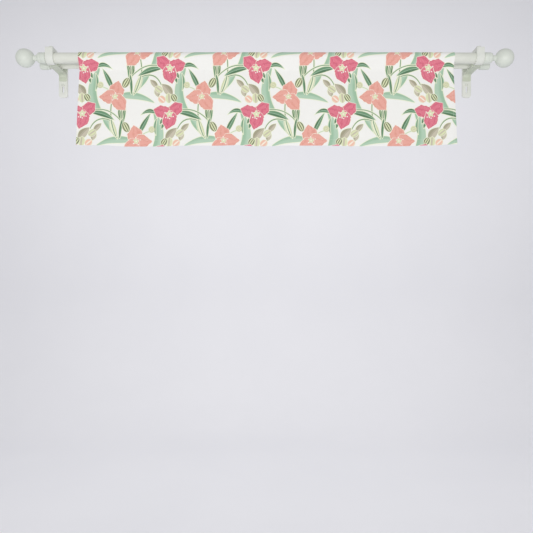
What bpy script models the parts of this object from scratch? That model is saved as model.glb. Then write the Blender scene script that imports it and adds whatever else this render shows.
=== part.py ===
"""Window valance in its place on a double curtain rod.

The printed cloth is one sheet. Its rod pocket, its bottom hem and the raw edge behind the pocket
seam are folds of that sheet. The thick front rod runs through the pocket and the thin back rod runs
empty behind it. Two brackets hold both rods off the wall.

Metres, +Z up, +X along the rods, +Y towards the wall. The origin is on the back face of the left
wall plate, at the height of the front rod's axis. The wall is the plane Y = 0.
"""

from math import asin, atan2, cos, degrees, pi, radians, sin, sqrt

import bmesh
import bpy

# Clearances
GAP = 0.0003                      # between pieces that carry one another
MERGE = 0.00005                   # largest distance at which doubled points are merged

# Roundness
ROUND_STEPS = 32
SMALL_ROUND_STEPS = 24
HOLE_STEPS = 12
CURVE_STEPS = 8
CORNER_STEPS = 4
SHARP_ANGLE = 35.0
BEVEL_ANGLE = 50.0                # edges that turn by more than this are rounded
BEVEL_SEGMENTS = 2

# Where the rods and the brackets are
BRACKET_SPAN_HALF = 0.769         # from the middle of the rods to the middle of a bracket
FRONT_ROD_Y = -0.126              # axis of the front rod, off the wall
BACK_ROD_Y = -0.056               # axis of the back rod, off the wall
BACK_ROD_Z = -0.004               # axis of the back rod, against the front rod's height

# Front rod and its ball ends
FRONT_ROD_RADIUS = 0.019
FRONT_ROD_HALF = 0.786
COLLAR_RADIUS = 0.0196
COLLAR_LENGTH = 0.0305
COLLAR_END_RADIUS = 0.0160
TAPER_LENGTH = 0.0070
NECK_RADIUS = 0.0098
NECK_LENGTH = 0.0140
BALL_RADIUS = 0.0330
BALL_ARC_STEPS = 14

# Back rod and its end caps
BACK_ROD_RADIUS = 0.0095
BACK_ROD_HALF = 0.798
CAP_LENGTH = 0.038
CAP_RADIUS = 0.0132
CAP_RIM_RADIUS = 0.0122
CAP_RIM_LENGTH = 0.009
CAP_DOME = 0.005

# Wall plate with its screw slot
PLATE_WIDTH = 0.033
PLATE_THICKNESS = 0.008
PLATE_TOP = 0.020
PLATE_BOTTOM = -0.106
PLATE_CORNER = 0.009
PLATE_EDGE = 0.0012
SLOT_WIDTH = 0.0065
SLOT_TOP = -0.0560
SLOT_BOTTOM = -0.0870

# Wall screw at the top of the slot
SCREW_Z = -0.0605
SCREW_HEAD_RADIUS = 0.0058
SCREW_HEAD_HEIGHT = 0.0034
SCREW_SHANK_RADIUS = 0.0023

# Bracket arm: a bar under both rods, with a hollow gusset at the wall and a pad behind the ring
ARM_WIDTH = 0.030
ARM_BOTTOM = -0.0208
ARM_TOP = -0.0171
GUSSET_BOTTOM = -0.045
GUSSET_REACH = 0.013
SHOULDER_TOP = 0.012
SHOULDER_REACH = 0.020
PAD_TOP = 0.022
PAD_THICKNESS = 0.006
ARM_EDGE = 0.0010

# Front ring: a block that is round below and square above, bored for the front rod
RING_WIDTH = 0.027
RING_RADIUS = 0.0240
RING_TOP = 0.0330
RING_CORNER = 0.003
RING_EDGE = 0.0010
RING_HALF_STEPS = 14              # round the lower half of the ring
SCREW_HOLE_RADIUS = 0.0028
SCREW_HOLE_LENGTH = 0.033

# Thumb screw in the top of the ring
THUMB_HEAD_RADIUS = 0.0080
THUMB_HEAD_HEIGHT = 0.0082
THUMB_SHANK_RADIUS = 0.0025
THUMB_RIBS = 16
THUMB_RIB_DEPTH = 0.07            # share of the head's radius

# Back cup: an open saddle on the arm, round inside
CUP_WIDTH = 0.024
CUP_WALL = 0.0030
CUP_TOP = 0.0075
CUP_CORNER = 0.005

# Cloth
SHEET = 0.0012                    # thickness of the cloth
LAYER_GAP = 0.0003                # between two layers that lie on each other
CLOTH_CENTRE_X = 0.006            # the cloth hangs a little to the right of the rods' middle
WIDTH_ON_ROD = 1.344
WIDTH_AT_HEM = 1.371
FLARE_GROWTH = 0.8                # power by which the width grows from the seam to the hem
SEAM_Z = -0.045                   # pocket seam, under the front rod's axis
HEM_Z = -0.3144                   # bottom fold
HEM_DEPTH = 0.025                 # turned up behind the bottom fold
SEAM_TAIL = 0.011                 # raw edge left behind the pocket seam
SEAM_BEND = 0.004                 # below the seam, where the layers start to part
SEAM_OPENED = 0.006               # above the seam, where the pocket's sides run straight
SEAM_EASE = 0.0012                # rounds the turn of the cloth at the seam
CLOTH_COLUMNS = 44
HANG_STEPS = 9
WRAP_STEPS = 18
FOLD_STEPS = 5
TURN_UP_STEPS = 2

# Waves that stand across the hanging cloth: length, depth at the hem, phase in degrees
WAVES = (
    (0.610, 0.0020, 305.0),
    (0.243, 0.0017, 20.0),
    (0.157, 0.0012, 130.0),
    (0.113, 0.0006, 250.0),
)
WAVE_GROWTH = 1.3                 # power by which the depth grows from the seam to the hem

# Hem line, left to right: share of the width, how far the hem dips below its mean line
HEM_DIPS = (
    (0.00, -0.0018),
    (0.07, 0.0002),
    (0.13, 0.0034),
    (0.21, 0.0032),
    (0.29, 0.0004),
    (0.42, 0.0000),
    (0.48, 0.0030),
    (0.56, 0.0002),
    (0.69, 0.0004),
    (0.76, 0.0030),
    (0.86, 0.0026),
    (0.93, 0.0000),
    (1.00, -0.0036),
)

# Finishes: linear colour, roughness, metallic
FINISHES = {
    "cloth": ((0.86, 0.87, 0.84), 0.85, 0.0),
    "rod": ((0.68, 0.70, 0.63), 0.35, 0.0),
    "ball": ((0.62, 0.65, 0.60), 0.30, 0.0),
    "bracket": ((0.73, 0.76, 0.71), 0.40, 0.0),
    "arm": ((0.50, 0.54, 0.45), 0.45, 0.0),
    "screw": ((0.66, 0.69, 0.66), 0.30, 0.4),
}


def clear_scene():
    """Remove every object that is in the scene."""
    for old in list(bpy.data.objects):
        bpy.data.objects.remove(old, do_unlink=True)


def make_collection(name):
    """Return a new collection that is linked to the scene."""
    collection = bpy.data.collections.new(name)
    bpy.context.scene.collection.children.link(collection)
    return collection


def give_finish(part, finish):
    """Give a part its own Principled material, in one of the finishes."""
    colour, roughness, metallic = FINISHES[finish]
    material = bpy.data.materials.new(part.name + "_finish")
    material.use_nodes = True
    shader = material.node_tree.nodes["Principled BSDF"]
    shader.inputs["Base Color"].default_value = (*colour, 1.0)
    shader.inputs["Roughness"].default_value = roughness
    shader.inputs["Metallic"].default_value = metallic
    material.diffuse_color = (*colour, 1.0)
    part.data.materials.append(material)


def shade_round(mesh):
    """Shade a mesh smooth, with its corners sharp."""
    mesh.shade_smooth()
    mesh.set_sharp_from_angle(angle=radians(SHARP_ANGLE))


def arc(centre, radius, start, end, steps):
    """Points of a round or oval arc. The angles are in degrees, the radius is one number or two."""
    wide, high = radius if isinstance(radius, tuple) else (radius, radius)
    points = []
    for step in range(steps + 1):
        angle = radians(start + (end - start) * step / steps)
        points.append((centre[0] + wide * cos(angle), centre[1] + high * sin(angle)))
    return points


class Assembly:
    """Builds named objects into one collection, all under one empty."""

    def __init__(self):
        self.parts = make_collection("Window_Valance")
        self.cutters = make_collection("Cutters")
        self.root = bpy.data.objects.new("rods_middle", None)
        self.root.location = (BRACKET_SPAN_HALF, 0.0, 0.0)
        self.parts.objects.link(self.root)

    def place(self, name, data, location=(0.0, 0.0, 0.0), rotation=(0.0, 0.0, 0.0)):
        """Add a mesh or a curve as a part."""
        part = bpy.data.objects.new(name, data)
        part.location = location
        part.rotation_euler = rotation
        part.parent = self.root
        self.parts.objects.link(part)
        return part

    def cutter(self, name, mesh, location):
        """Add a mesh that only shapes another part."""
        tool = bpy.data.objects.new(name, mesh)
        tool.location = location
        tool.parent = self.root
        tool.hide_render = True
        tool.display_type = "WIRE"
        self.cutters.objects.link(tool)
        return tool

    def outline(self, name, outlines, width, centre, facing):
        """Add a flat outline of the given width. It faces "x", as (y, z) points, or "y", as (x, z)."""
        curve = bpy.data.curves.new(name, "CURVE")
        curve.dimensions = "2D"
        curve.fill_mode = "BOTH"
        curve.extrude = width / 2.0
        for points in outlines:
            spline = curve.splines.new("POLY")
            spline.points.add(len(points) - 1)
            spline.use_cyclic_u = True
            for target, point in zip(spline.points, points):
                target.co = (point[0], point[1], 0.0, 1.0)
        turn = (pi / 2.0, 0.0, pi / 2.0) if facing == "x" else (pi / 2.0, 0.0, 0.0)
        return self.place(name, curve, centre, turn)

    def as_mesh(self, part):
        """Replace a curve part by its welded mesh, in the same place."""
        bpy.context.view_layer.update()
        name = part.name
        shown = part.evaluated_get(bpy.context.evaluated_depsgraph_get())
        mesh = bpy.data.meshes.new_from_object(shown)
        bm = bmesh.new()
        bm.from_mesh(mesh)
        bmesh.ops.remove_doubles(bm, verts=bm.verts, dist=MERGE)
        bm.to_mesh(mesh)
        bm.free()
        location = part.location.copy()
        rotation = part.rotation_euler.copy()
        bpy.data.objects.remove(part, do_unlink=True)
        mesh.name = name
        return self.place(name, mesh, location, rotation)

    def turned(self, name, profile, location, side, steps):
        """Add a turned piece. The profile runs from its tip to its base, as (radius, height) points.

        The height runs along +X for side 1 and along -X for side -1. Side 0 keeps it upright.
        """
        mesh = bpy.data.meshes.new(name)
        edges = [(index, index + 1) for index in range(len(profile) - 1)]
        mesh.from_pydata([(radius, 0.0, height) for radius, height in profile], edges, [])
        part = self.place(name, mesh, location, (0.0, side * pi / 2.0, 0.0))
        screw = part.modifiers.new("Turn", "SCREW")
        screw.steps = steps
        screw.render_steps = steps
        screw.use_merge_vertices = True
        screw.merge_threshold = MERGE
        screw.use_smooth_shade = True
        return part


def soften(part, width):
    """Weld a part and round its sharp edges."""
    if part.type == "CURVE":
        weld = part.modifiers.new("Weld", "WELD")
        weld.merge_threshold = MERGE
    bevel = part.modifiers.new("Edges", "BEVEL")
    bevel.width = width
    bevel.segments = BEVEL_SEGMENTS
    bevel.limit_method = "ANGLE"
    bevel.angle_limit = radians(BEVEL_ANGLE)


def cylinder_mesh(name, radius, length, steps):
    """A closed cylinder along Z, with its middle at the origin."""
    mesh = bpy.data.meshes.new(name)
    bm = bmesh.new()
    bmesh.ops.create_cone(
        bm, cap_ends=True, segments=steps, radius1=radius, radius2=radius, depth=length
    )
    bm.to_mesh(mesh)
    bm.free()
    return mesh


def rod(assembly, name, radius, half_length, y, z, steps):
    """A plain rod along X."""
    mesh = cylinder_mesh(name, radius, 2.0 * half_length, steps)
    shade_round(mesh)
    part = assembly.place(name, mesh, (0.0, y, z), (0.0, pi / 2.0, 0.0))
    give_finish(part, "rod")


def finial(assembly, name, side):
    """A ball on a neck and a collar, which is as wide as the rod and tapers to the neck."""
    ball_centre = COLLAR_LENGTH + NECK_LENGTH + sqrt(BALL_RADIUS ** 2 - NECK_RADIUS ** 2)
    foot_angle = -degrees(asin(sqrt(1.0 - (NECK_RADIUS / BALL_RADIUS) ** 2)))
    profile = arc((0.0, ball_centre), BALL_RADIUS, 90.0, foot_angle, BALL_ARC_STEPS)
    profile[0] = (0.0, ball_centre + BALL_RADIUS)
    profile += [
        (NECK_RADIUS, COLLAR_LENGTH),
        (COLLAR_END_RADIUS, COLLAR_LENGTH),
        (COLLAR_RADIUS, COLLAR_LENGTH - TAPER_LENGTH),
        (COLLAR_RADIUS, 0.0),
        (0.0, 0.0),
    ]
    start = side * (FRONT_ROD_HALF + GAP)
    part = assembly.turned(name, profile, (start, FRONT_ROD_Y, 0.0), side, ROUND_STEPS)
    give_finish(part, "ball")


def back_rod_cap(assembly, name, side):
    """A round cap on the end of the back rod, with a narrower rim towards the rod."""
    dome_start = CAP_LENGTH - CAP_DOME
    profile = arc((0.0, dome_start), (CAP_RADIUS, CAP_DOME), 90.0, 0.0, CORNER_STEPS)
    profile[0] = (0.0, CAP_LENGTH)
    profile += [
        (CAP_RADIUS, CAP_RIM_LENGTH),
        (CAP_RIM_RADIUS, CAP_RIM_LENGTH),
        (CAP_RIM_RADIUS, 0.0),
        (0.0, 0.0),
    ]
    start = side * (BACK_ROD_HALF + GAP)
    part = assembly.turned(name, profile, (start, BACK_ROD_Y, BACK_ROD_Z), side, SMALL_ROUND_STEPS)
    give_finish(part, "ball")


def wall_plate(assembly, name, side):
    """Upright plate on the wall, with a slot for its screw."""
    inset = PLATE_WIDTH / 2.0 - PLATE_CORNER
    low = PLATE_BOTTOM + PLATE_CORNER
    high = PLATE_TOP - PLATE_CORNER
    face = []
    corners = ((inset, low, -90.0), (inset, high, 0.0), (-inset, high, 90.0), (-inset, low, 180.0))
    for x, z, start in corners:
        face += arc((x, z), PLATE_CORNER, start, start + 90.0, CORNER_STEPS)
    slot_radius = SLOT_WIDTH / 2.0
    slot = arc((0.0, SLOT_TOP - slot_radius), slot_radius, 0.0, 180.0, CURVE_STEPS)
    slot += arc((0.0, SLOT_BOTTOM + slot_radius), slot_radius, 180.0, 360.0, CURVE_STEPS)
    centre = (side * BRACKET_SPAN_HALF, -PLATE_THICKNESS / 2.0, 0.0)
    part = assembly.outline(name, [face, slot], PLATE_THICKNESS, centre, "y")
    part = assembly.as_mesh(part)
    soften(part, PLATE_EDGE)
    shade_round(part.data)
    give_finish(part, "bracket")


def wall_screw(assembly, name, side):
    """Pan head screw at the top of the slot. Its shank ends at the wall."""
    head_base = PLATE_THICKNESS + GAP
    head_size = (SCREW_HEAD_RADIUS, SCREW_HEAD_HEIGHT)
    profile = arc((0.0, head_base), head_size, 90.0, 0.0, CORNER_STEPS)
    profile[0] = (0.0, head_base + SCREW_HEAD_HEIGHT)
    profile += [(SCREW_SHANK_RADIUS, head_base), (SCREW_SHANK_RADIUS, 0.0), (0.0, 0.0)]
    location = (side * BRACKET_SPAN_HALF, 0.0, SCREW_Z)
    part = assembly.turned(name, profile, location, 0, SMALL_ROUND_STEPS)
    part.rotation_euler = (pi / 2.0, 0.0, 0.0)
    give_finish(part, "screw")


def bracket_arm(assembly, name, side):
    """Bar from the wall plate to the ring, as one casting with its gusset, shoulder and pad."""
    root = -PLATE_THICKNESS - GAP
    tip = FRONT_ROD_Y + RING_RADIUS + GAP
    gusset_centre = (root - GUSSET_REACH, GUSSET_BOTTOM)
    gusset = arc(gusset_centre, (GUSSET_REACH, ARM_BOTTOM - GUSSET_BOTTOM), 0.0, 90.0, CURVE_STEPS)
    shoulder_centre = (root - SHOULDER_REACH, SHOULDER_TOP)
    shoulder_size = (SHOULDER_REACH, SHOULDER_TOP - ARM_TOP)
    shoulder = arc(shoulder_centre, shoulder_size, -90.0, 0.0, CURVE_STEPS)
    pad_back = tip + PAD_THICKNESS
    front = [(tip, ARM_BOTTOM), (tip, PAD_TOP), (pad_back, PAD_TOP), (pad_back, ARM_TOP)]
    centre = (side * BRACKET_SPAN_HALF, 0.0, 0.0)
    part = assembly.outline(name, [gusset + front + shoulder], ARM_WIDTH, centre, "x")
    soften(part, ARM_EDGE)
    give_finish(part, "arm")


def front_ring(assembly, name, side):
    """Bored block that holds the front rod, with an upright hole for its thumb screw."""
    lower = arc((FRONT_ROD_Y, 0.0), RING_RADIUS, 180.0, 360.0, RING_HALF_STEPS)
    right = FRONT_ROD_Y + RING_RADIUS
    left = FRONT_ROD_Y - RING_RADIUS
    corner_z = RING_TOP - RING_CORNER
    upper = arc((right - RING_CORNER, corner_z), RING_CORNER, 0.0, 90.0, CORNER_STEPS)
    upper += arc((left + RING_CORNER, corner_z), RING_CORNER, 90.0, 180.0, CORNER_STEPS)
    bore = arc((FRONT_ROD_Y, 0.0), FRONT_ROD_RADIUS + GAP, 0.0, 360.0, ROUND_STEPS)[:-1]
    centre = (side * BRACKET_SPAN_HALF, 0.0, 0.0)
    part = assembly.outline(name, [lower + upper, bore], RING_WIDTH, centre, "x")
    part = assembly.as_mesh(part)
    soften(part, RING_EDGE)
    drill_bottom = FRONT_ROD_RADIUS / 2.0
    drill = assembly.cutter(
        name + "_drill",
        cylinder_mesh(name + "_drill", SCREW_HOLE_RADIUS, SCREW_HOLE_LENGTH, HOLE_STEPS),
        (side * BRACKET_SPAN_HALF, FRONT_ROD_Y, drill_bottom + SCREW_HOLE_LENGTH / 2.0),
    )
    hole = part.modifiers.new("Screw_hole", "BOOLEAN")
    hole.operation = "DIFFERENCE"
    hole.solver = "EXACT"
    hole.object = drill
    shade_round(part.data)
    give_finish(part, "bracket")


def thumb_screw(assembly, name, side):
    """Ribbed screw head on the ring, with its shank down to the rod."""
    head = cylinder_mesh(name, THUMB_HEAD_RADIUS, THUMB_HEAD_HEIGHT, 2 * THUMB_RIBS)
    for vertex in head.vertices:
        rib = round(atan2(vertex.co.y, vertex.co.x) * THUMB_RIBS / pi)
        if rib % 2:
            vertex.co.x *= 1.0 - THUMB_RIB_DEPTH
            vertex.co.y *= 1.0 - THUMB_RIB_DEPTH
    head_bottom = RING_TOP + GAP
    place = (side * BRACKET_SPAN_HALF, FRONT_ROD_Y, head_bottom + THUMB_HEAD_HEIGHT / 2.0)
    part = assembly.place(name, head, place)
    shank_bottom = FRONT_ROD_RADIUS + GAP
    shank_length = head_bottom + THUMB_HEAD_HEIGHT / 2.0 - shank_bottom
    shank = assembly.cutter(
        name + "_shank",
        cylinder_mesh(name + "_shank", THUMB_SHANK_RADIUS, shank_length, HOLE_STEPS),
        (place[0], place[1], shank_bottom + shank_length / 2.0),
    )
    join = part.modifiers.new("Shank", "BOOLEAN")
    join.operation = "UNION"
    join.solver = "EXACT"
    join.object = shank
    give_finish(part, "screw")


def back_cup(assembly, name, side):
    """Open saddle on the arm, round inside, that holds the back rod."""
    inner = BACK_ROD_RADIUS + GAP
    outer = inner + CUP_WALL
    bottom = ARM_TOP + GAP
    left = BACK_ROD_Y - outer
    right = BACK_ROD_Y + outer
    corner_z = bottom + CUP_CORNER
    outside = arc((left + CUP_CORNER, corner_z), CUP_CORNER, 180.0, 270.0, CORNER_STEPS)
    outside += arc((right - CUP_CORNER, corner_z), CUP_CORNER, 270.0, 360.0, CORNER_STEPS)
    inside = [(BACK_ROD_Y + inner, CUP_TOP)]
    inside += arc((BACK_ROD_Y, BACK_ROD_Z), inner, 0.0, -180.0, 2 * CURVE_STEPS)
    inside.append((BACK_ROD_Y - inner, CUP_TOP))
    points = [(left, CUP_TOP)] + outside + [(right, CUP_TOP)] + inside
    centre = (side * BRACKET_SPAN_HALF, 0.0, 0.0)
    part = assembly.outline(name, [points], CUP_WIDTH, centre, "x")
    give_finish(part, "bracket")


def smooth_step(share):
    """Ease from 0 to 1."""
    share = min(max(share, 0.0), 1.0)
    return share * share * (3.0 - 2.0 * share)


def hem_dip(share):
    """Dip of the hem line at a share of the width."""
    for (start, low), (end, high) in zip(HEM_DIPS, HEM_DIPS[1:]):
        if share <= end:
            return low + (high - low) * smooth_step((share - start) / (end - start))
    return HEM_DIPS[-1][1]


def cloth_section():
    """Middle line of the sheet across the rod, as (offset from the rod's axis, z) points.

    It runs from the raw edge of the hem down to the bottom fold, up the front, over the rod, down
    to the pocket seam and on to the raw edge behind the seam.
    """
    layer = (SHEET + LAYER_GAP) / 2.0
    wrap_radius = FRONT_ROD_RADIUS + GAP + SHEET / 2.0
    points = []

    fold_z = HEM_Z + SHEET / 2.0 + layer
    for step in range(TURN_UP_STEPS):
        share = step / TURN_UP_STEPS
        points.append((layer, HEM_Z + HEM_DEPTH + (fold_z - HEM_Z - HEM_DEPTH) * share))
    points += arc((0.0, fold_z), layer, 0.0, -180.0, FOLD_STEPS)
    for step in range(1, HANG_STEPS + 1):
        points.append((-layer, fold_z + (SEAM_Z - SEAM_BEND - fold_z) * step / HANG_STEPS))

    lean = asin(wrap_radius / -SEAM_Z)
    touch_out = wrap_radius * cos(lean)
    touch_z = -wrap_radius * sin(lean)
    spread = (touch_out - layer) / (touch_z - SEAM_Z)
    back_side = [
        ((layer + SEAM_OPENED * spread + touch_out) / 2.0, (SEAM_Z + SEAM_OPENED + touch_z) / 2.0),
        (layer + SEAM_OPENED * spread, SEAM_Z + SEAM_OPENED),
        (layer + SEAM_EASE * spread, SEAM_Z),
    ]
    points += [(-offset, z) for offset, z in reversed(back_side)]
    points += arc((0.0, 0.0), wrap_radius, 180.0 + degrees(lean), -degrees(lean), WRAP_STEPS)
    points += back_side
    points.append((layer, SEAM_Z - SEAM_BEND))
    points.append((layer, SEAM_Z - SEAM_TAIL))
    return points


def hang(share, offset, z):
    """Place one point of the section at a share of the width, with the flare, waves and hem line."""
    fall = min(max((SEAM_Z - z) / (SEAM_Z - HEM_Z), 0.0), 1.0)
    width = WIDTH_ON_ROD + (WIDTH_AT_HEM - WIDTH_ON_ROD) * fall ** FLARE_GROWTH
    x = CLOTH_CENTRE_X + (share - 0.5) * width
    wave = 0.0
    for length, depth, phase in WAVES:
        wave += depth * sin(2.0 * pi * x / length + radians(phase))
    y = FRONT_ROD_Y + offset + wave * fall ** WAVE_GROWTH
    return (x, y, z - hem_dip(share) * fall)


def valance(assembly):
    """The one sheet of cloth, hung over the front rod."""
    section = cloth_section()
    rows = len(section) - 1
    mesh = bpy.data.meshes.new("valance")
    bm = bmesh.new()
    bmesh.ops.create_grid(bm, x_segments=CLOTH_COLUMNS, y_segments=rows, size=0.5)
    for vertex in bm.verts:
        offset, z = section[round((vertex.co.y + 0.5) * rows)]
        vertex.co = hang(vertex.co.x + 0.5, offset, z)
    bm.to_mesh(mesh)
    bm.free()
    mesh.shade_smooth()
    part = assembly.place("valance", mesh)
    solid = part.modifiers.new("Cloth_thickness", "SOLIDIFY")
    solid.thickness = SHEET
    solid.offset = 0.0
    solid.use_even_offset = True
    give_finish(part, "cloth")


def build():
    """Build the valance, its rods and both brackets."""
    clear_scene()
    assembly = Assembly()
    valance(assembly)
    rod(assembly, "front_rod", FRONT_ROD_RADIUS, FRONT_ROD_HALF, FRONT_ROD_Y, 0.0, ROUND_STEPS)
    rod(assembly, "back_rod", BACK_ROD_RADIUS, BACK_ROD_HALF, BACK_ROD_Y, BACK_ROD_Z, SMALL_ROUND_STEPS)
    for side, word in ((-1, "left"), (1, "right")):
        finial(assembly, "finial_" + word, side)
        back_rod_cap(assembly, "back_rod_cap_" + word, side)
        wall_plate(assembly, "wall_plate_" + word, side)
        wall_screw(assembly, "wall_screw_" + word, side)
        bracket_arm(assembly, "bracket_arm_" + word, side)
        front_ring(assembly, "front_ring_" + word, side)
        thumb_screw(assembly, "thumb_screw_" + word, side)
        back_cup(assembly, "back_cup_" + word, side)


build()
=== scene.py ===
"""Window valance on its double curtain rod, dressed for a render.

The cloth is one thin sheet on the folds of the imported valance, with a printed repeat of flowers and
leaves. The rods, ball ends, caps, brackets and screws are made again, more finely, in the place of
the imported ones. Metres, +X along the rods, +Y towards the wall, +Z up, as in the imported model.
"""

from math import asin, atan2, cos, degrees, hypot, pi, radians, sin

import bmesh
import bpy
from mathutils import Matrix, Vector


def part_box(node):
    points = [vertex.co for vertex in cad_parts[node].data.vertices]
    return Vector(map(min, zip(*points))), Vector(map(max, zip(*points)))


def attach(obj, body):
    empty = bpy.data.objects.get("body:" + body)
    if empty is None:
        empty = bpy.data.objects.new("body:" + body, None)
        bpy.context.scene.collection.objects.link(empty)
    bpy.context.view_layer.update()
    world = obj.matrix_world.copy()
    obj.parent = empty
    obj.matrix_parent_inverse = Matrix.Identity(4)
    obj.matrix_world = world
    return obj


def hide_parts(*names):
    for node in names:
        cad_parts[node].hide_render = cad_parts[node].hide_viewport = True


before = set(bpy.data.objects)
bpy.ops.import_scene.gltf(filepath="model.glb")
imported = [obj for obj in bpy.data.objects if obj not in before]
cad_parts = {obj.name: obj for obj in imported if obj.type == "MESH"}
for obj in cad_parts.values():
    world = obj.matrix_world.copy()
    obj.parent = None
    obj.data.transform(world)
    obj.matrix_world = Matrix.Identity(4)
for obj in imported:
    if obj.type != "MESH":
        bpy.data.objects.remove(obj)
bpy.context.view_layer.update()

GAP = 0.0003                      # between two pieces that meet
SAME = 0.00001                    # places closer than this are the same
SIDES = ((-1, "left"), (1, "right"))
ALONG = Vector((1.0, 0.0, 0.0))   # along the rods
OUT = Vector((0.0, -1.0, 0.0))    # from the wall
UP = Vector((0.0, 0.0, 1.0))

# Camera of the photograph: level, in front of the rods and below them
CAMERA_PLACE = (0.775, -2.126, -0.750)
CAMERA_LENS = 37.53
SENSOR_WIDTH = 36.0


def middle(node):
    """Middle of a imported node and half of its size."""
    low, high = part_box(node)
    centre = [(a + b) / 2.0 for a, b in zip(low, high)]
    half = [(b - a) / 2.0 for a, b in zip(low, high)]
    return centre, half


ROD, ROD_SIZE = middle("front_rod")
BACK_ROD, BACK_ROD_SIZE = middle("back_rod")
ROD_RADIUS = ROD_SIZE[2]
BACK_ROD_RADIUS = BACK_ROD_SIZE[2]

# Cloth
CLOTH_SHIFT = 0.006               # middle of the cloth, from the middle of the rod
CLOTH = 0.0005                    # thickness of the cloth
LAYER = 0.00036                   # half of the distance between the middles of two layers
WIDTH_ON_ROD = 1.344
WIDTH_AT_HEM = 1.371
FLARE_GROWTH = 0.8
SEAM_Z = -0.045
HEM_Z = -0.3144
HEM_DEPTH = 0.025
SEAM_TAIL = 0.011
SEAM_ROUND = 0.012                # radius in which the layers part at the pocket seam
COLUMNS = 244
TURN_UP_STEPS = 5
FOLD_STEPS = 8
HANG_STEPS = 50
SEAM_STEPS = 6
SIDE_STEPS = 6
WRAP_STEPS = 40
TAIL_STEPS = 3

# Side hems: the cloth turns to its reverse side and runs back
SIDE_HEM = 0.010
SIDE_LAYER = 0.00058              # between the middles of the cloth and its side hem
SIDE_FOLD_STEPS = 6
SIDE_HEM_STEPS = 3
SIDE_SPREAD = 0.00058             # how much further apart the layers are at a side hem
SPREAD_START = 0.034
SPREAD_END = 0.013

# Waves that stand across the hanging cloth: length, depth at the hem, phase in degrees
WAVES = (
    (0.610, 0.0020, 305.0),
    (0.243, 0.0017, 20.0),
    (0.157, 0.0012, 130.0),
    (0.113, 0.0006, 250.0),
)
WAVE_GROWTH = 1.3

# Hem line, left to right: share of the width, how far the hem dips below its mean line
HEM_DIPS = (
    (0.00, -0.0018),
    (0.07, 0.0002),
    (0.13, 0.0034),
    (0.21, 0.0032),
    (0.29, 0.0004),
    (0.42, 0.0000),
    (0.48, 0.0030),
    (0.56, 0.0002),
    (0.69, 0.0004),
    (0.76, 0.0030),
    (0.86, 0.0026),
    (0.93, 0.0000),
    (1.00, -0.0036),
)

# Soft creases: distance from the middle, height above the hem, length, width, depth, lean
CREASES = (
    (-0.585, 0.150, 0.170, 0.030, 0.0011, 0.10),
    (-0.410, 0.190, 0.130, 0.024, -0.0008, -0.06),
    (-0.255, 0.120, 0.190, 0.034, 0.0010, 0.04),
    (-0.060, 0.200, 0.120, 0.026, -0.0009, 0.08),
    (0.145, 0.110, 0.180, 0.032, 0.0011, -0.05),
    (0.300, 0.185, 0.140, 0.025, -0.0008, 0.03),
    (0.445, 0.130, 0.180, 0.033, 0.0010, 0.07),
    (0.610, 0.170, 0.150, 0.028, -0.0009, -0.09),
)

# Small gathers that sewing leaves along a seam: wave length, phase in degrees
GATHERS = ((0.0191, 40.0), (0.0273, 160.0), (0.0438, 275.0))
GATHER_DEPTH = 0.00022
GATHER_REACH = 0.016

# Sewing
STITCH_PITCH = 0.0033
STITCH_LENGTH = 0.0026
STITCH_RADIUS = 0.00022
HEM_STITCH_RISE = 0.0220          # above the hem line
SIDE_STITCH_INSET = 0.0085        # from the side edge
SIDE_STITCH_START = HEM_Z + 0.004
SIDE_STITCH_END = SEAM_Z - 0.001
STITCH_CLEAR = 0.002              # from the raw edges of the layers behind
STITCH_LIFT = 0.3                 # share of a stitch's radius that lies above the cloth
STITCH_SHAPE = ((0.0, 0.45), (0.16, 0.9), (0.5, 1.0), (0.84, 0.9), (1.0, 0.45))
LOOK_ACROSS = 0.002               # share of the half width to the place that a stitch points at
LOOK_UP = 0.0014


def smooth_step(share):
    """Ease from 0 to 1."""
    share = min(max(share, 0.0), 1.0)
    return share * share * (3.0 - 2.0 * share)


def hem_dip(share):
    """Dip of the hem line at a share of the width."""
    for (start, low), (end, high) in zip(HEM_DIPS, HEM_DIPS[1:]):
        if share <= end:
            return low + (high - low) * smooth_step((share - start) / (end - start))
    return HEM_DIPS[-1][1]


def arc(centre, radius, start, end, steps):
    """Points of a round arc between two angles in degrees."""
    angles = [radians(start + (end - start) * step / steps) for step in range(steps + 1)]
    return [(centre[0] + radius * cos(angle), centre[1] + radius * sin(angle)) for angle in angles]


def line(start, end, steps):
    """Points from start to end, without the end."""
    shares = [step / steps for step in range(steps)]
    return [tuple(a + (b - a) * share for a, b in zip(start, end)) for share in shares]


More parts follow.
